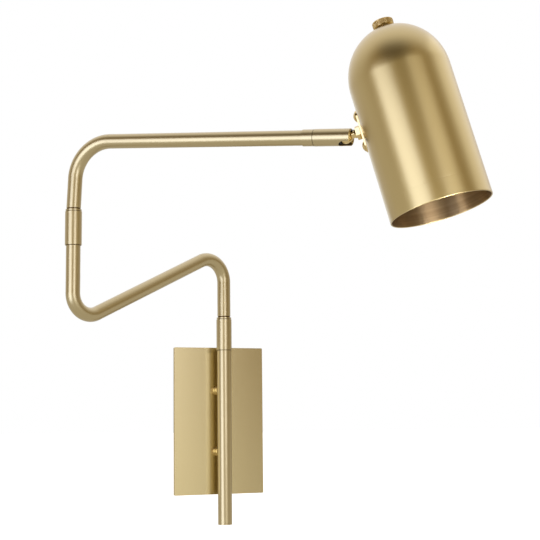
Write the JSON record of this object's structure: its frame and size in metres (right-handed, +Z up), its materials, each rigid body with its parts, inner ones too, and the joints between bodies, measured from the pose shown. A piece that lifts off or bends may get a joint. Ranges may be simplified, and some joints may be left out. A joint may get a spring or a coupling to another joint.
{
  "type": "swing arm wall lamp",
  "caption": "Swing arm wall lamp: rectangular plate, stem on ball standoffs, bent tube arms on swivels, slotted ball knuckle and spun dome shade with a turn knob.",
  "frame": {"origin": "on the wall plane, in the middle of the wall plate", "axes": "+Z up, +Y into the wall, +X to the right for someone who faces the wall; the lamp reaches out along -Y"},
  "size_m": [0.3413, 0.4154, 0.4964],
  "materials": {
    "satin_brass": "satin, brushed, light antique",
    "polished_brass": "polished",
    "dark_brass": "dull, darkened",
    "raw_brass": "machined",
    "zinc_steel": "zinc plated",
    "black_plastic": "moulded, matte",
    "green_steel": "green dyed"
  },
  "bodies": {
    "wall_mount": {"back_plate": "satin_brass", "mounting_bracket": "zinc_steel", "ground_screw": "green_steel", "rim_screws": "zinc_steel", "standoff_upper": "satin_brass", "standoff_lower": "satin_brass", "wire_nipple": "zinc_steel", "nipple_nut": "zinc_steel", "stem_bolt": "zinc_steel", "stem_inserts": "raw_brass", "stem_tube": "satin_brass", "stem_end_cap": "satin_brass", "lower_collar": "satin_brass", "lower_bush": "dark_brass"},
    "lower_arm": {"lower_neck_ring": "satin_brass", "lower_stud": "raw_brass", "lower_plug": "dark_brass", "lower_spring_washer": "zinc_steel", "lower_nut": "raw_brass", "lower_arm_tube": "satin_brass", "elbow_collar": "satin_brass", "elbow_bush": "dark_brass"},
    "upper_arm": {"elbow_neck_ring": "satin_brass", "elbow_stud": "raw_brass", "elbow_plug": "dark_brass", "elbow_spring_washer": "zinc_steel", "elbow_nut": "raw_brass", "upper_arm_tube": "satin_brass", "arm_ferrule": "satin_brass", "spigot_nut": "raw_brass"},
    "knuckle": {"knuckle_body": "satin_brass", "ball_seat": "black_plastic", "seat_spring": "zinc_steel"},
    "swivel_stem": {"ball_stem": "polished_brass"},
    "head": {"lock_nut": "polished_brass", "shade_strap": "polished_brass", "strap_screws": "polished_brass", "strap_nuts": "zinc_steel", "inner_nut": "zinc_steel", "shade": "satin_brass", "dome_nut": "satin_brass", "switch_bushing": "raw_brass", "switch_body": "black_plastic", "holder_cap": "raw_brass", "lampholder": "black_plastic", "screw_shell": "raw_brass", "centre_contact": "raw_brass"},
    "switch_knob": {"switch_shaft": "zinc_steel", "knob": "satin_brass"}
  },
  "joints": [
    {"name": "lower_arm_swing", "type": "hinge", "parent": "wall_mount", "child": "lower_arm", "pos_m": [0, -0.022, 0], "axis": [0, 0, 1], "range_deg": [-22, 157]},
    {"name": "upper_arm_swing", "type": "hinge", "parent": "lower_arm", "child": "upper_arm", "pos_m": [-0.19517, -0.10324, 0], "axis": [0, 0, 1], "range_deg": [-273.3, 46.7]},
    {"name": "knuckle_roll", "type": "hinge", "parent": "upper_arm", "child": "knuckle", "pos_m": [-0.003, -0.28946, 0.2695], "axis": [0.7157, -0.6936, -0.0819], "range_deg": [-145, 175]},
    {"name": "head_pitch", "type": "hinge", "parent": "knuckle", "child": "swivel_stem", "pos_m": [0.01998, -0.31173, 0.26687], "axis": [0.657, 0.7084, -0.2579], "range_deg": [-4, 111]},
    {"name": "head_spin", "type": "hinge", "parent": "swivel_stem", "child": "head", "pos_m": [0.01998, -0.31173, 0.26687], "axis": [0.7531, -0.6006, 0.2685], "range_deg": [-185.6, 154.4]},
    {"name": "knob_turn", "type": "hinge", "parent": "head", "child": "switch_knob", "pos_m": [0.06923, -0.35101, 0.28443], "axis": [-0.2106, 0.1665, 0.9633], "continuous": true}
  ]
}
